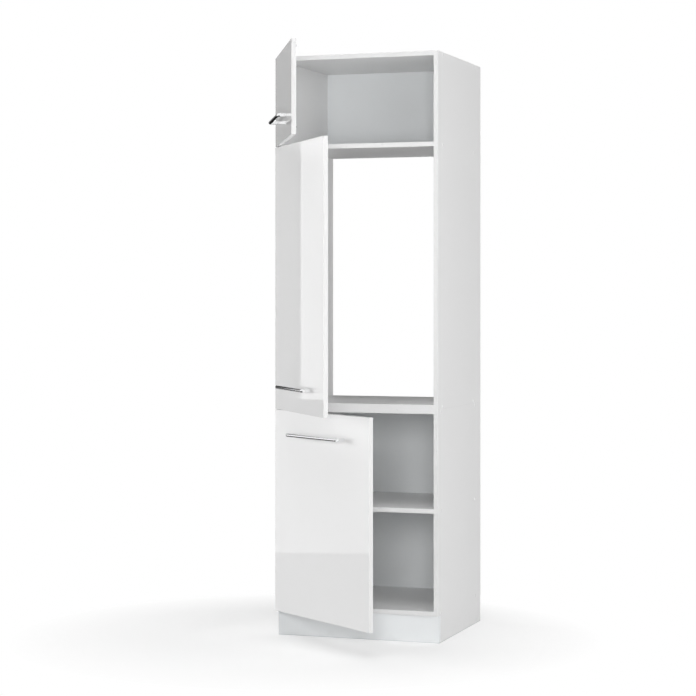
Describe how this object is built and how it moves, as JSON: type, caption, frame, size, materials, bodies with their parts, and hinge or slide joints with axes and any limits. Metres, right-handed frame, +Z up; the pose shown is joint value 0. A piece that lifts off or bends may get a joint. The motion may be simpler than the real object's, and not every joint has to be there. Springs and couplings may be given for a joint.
{
  "type": "fridge housing unit",
  "caption": "Tall white kitchen housing for a built-in fridge, open niche between a shelved lower cupboard and a top compartment, gloss doors hinged at the left, chrome bow handles.",
  "frame": {"origin": "centre of the plinth board's underside, on the floor", "axes": "+Z up, the open front looks along -Y, +X to the right seen from the front; the doors hang at the left, on the -X side"},
  "size_m": [0.6041, 1.0988, 2.068],
  "materials": {
    "carcass_white": "white melamine-faced board, satin, with white edge banding",
    "back_white": "thin fibreboard, white lacquer on the face",
    "door_white": "high-gloss white film on board, white edge banding",
    "handle_chrome": "polished chrome",
    "hinge_steel": "nickel-plated pressed steel",
    "cap_white": "white moulded screw cap",
    "zinc_steel": "zinc-plated steel"
  },
  "bodies": {
    "carcass": {"plinth_board": "carcass_white", "lower_side_left": "carcass_white", "lower_side_right": "carcass_white", "lower_bottom": "carcass_white", "lower_shelf": "carcass_white", "lower_top": "carcass_white", "lower_back": "back_white", "upper_side_left": "carcass_white", "upper_side_right": "carcass_white", "niche_floor": "carcass_white", "niche_ceiling": "carcass_white", "upper_top": "carcass_white", "upper_back": "back_white", "hinge_arm_bottom_lower": "hinge_steel", "hinge_arm_bottom_upper": "hinge_steel", "hinge_arm_fridge_lower": "hinge_steel", "hinge_arm_fridge_upper": "hinge_steel", "hinge_arm_top_lower": "hinge_steel", "hinge_arm_top_upper": "hinge_steel", "side_screw_left_1": "cap_white", "side_screw_left_2": "cap_white", "side_screw_left_3": "cap_white", "side_screw_left_4": "cap_white", "side_screw_left_5": "cap_white", "side_screw_left_6": "cap_white", "side_screw_left_7": "cap_white", "side_screw_left_8": "cap_white", "side_screw_left_9": "cap_white", "side_screw_left_10": "cap_white", "side_screw_left_11": "cap_white", "side_screw_left_12": "cap_white", "side_screw_right_1": "cap_white", "side_screw_right_2": "cap_white", "side_screw_right_3": "cap_white", "side_screw_right_4": "cap_white", "side_screw_right_5": "cap_white", "side_screw_right_6": "cap_white", "side_screw_right_7": "cap_white", "side_screw_right_8": "cap_white", "side_screw_right_9": "cap_white", "side_screw_right_10": "cap_white", "side_screw_right_11": "cap_white", "side_screw_right_12": "cap_white", "module_screw_left": "zinc_steel", "module_screw_right": "zinc_steel", "wall_bracket_left": "zinc_steel", "wall_bracket_right": "zinc_steel"},
    "bottom_leaf": {"bottom_door": "door_white", "handle_bottom": "handle_chrome", "hinge_cup_bottom_lower": "hinge_steel", "hinge_cup_bottom_upper": "hinge_steel"},
    "fridge_leaf": {"fridge_door": "door_white", "handle_fridge": "handle_chrome", "hinge_cup_fridge_lower": "hinge_steel", "hinge_cup_fridge_upper": "hinge_steel"},
    "top_leaf": {"top_door": "door_white", "handle_top": "handle_chrome", "hinge_cup_top_lower": "hinge_steel", "hinge_cup_top_upper": "hinge_steel"}
  },
  "joints": [
    {"name": "bottom_hinge", "type": "hinge", "parent": "carcass", "child": "bottom_leaf", "pos_m": [-0.29201, -0.0318, 0.44875], "axis": [0, 0, -1], "range_deg": [-37.3, 69.7]},
    {"name": "fridge_hinge", "type": "hinge", "parent": "carcass", "child": "fridge_leaf", "pos_m": [-0.29201, -0.0318, 1.276], "axis": [0, 0, -1], "range_deg": [-53.5, 53.5]},
    {"name": "top_hinge", "type": "hinge", "parent": "carcass", "child": "top_leaf", "pos_m": [-0.29201, -0.0318, 1.9025], "axis": [0, 0, -1], "range_deg": [-63.9, 43.1]}
  ]
}
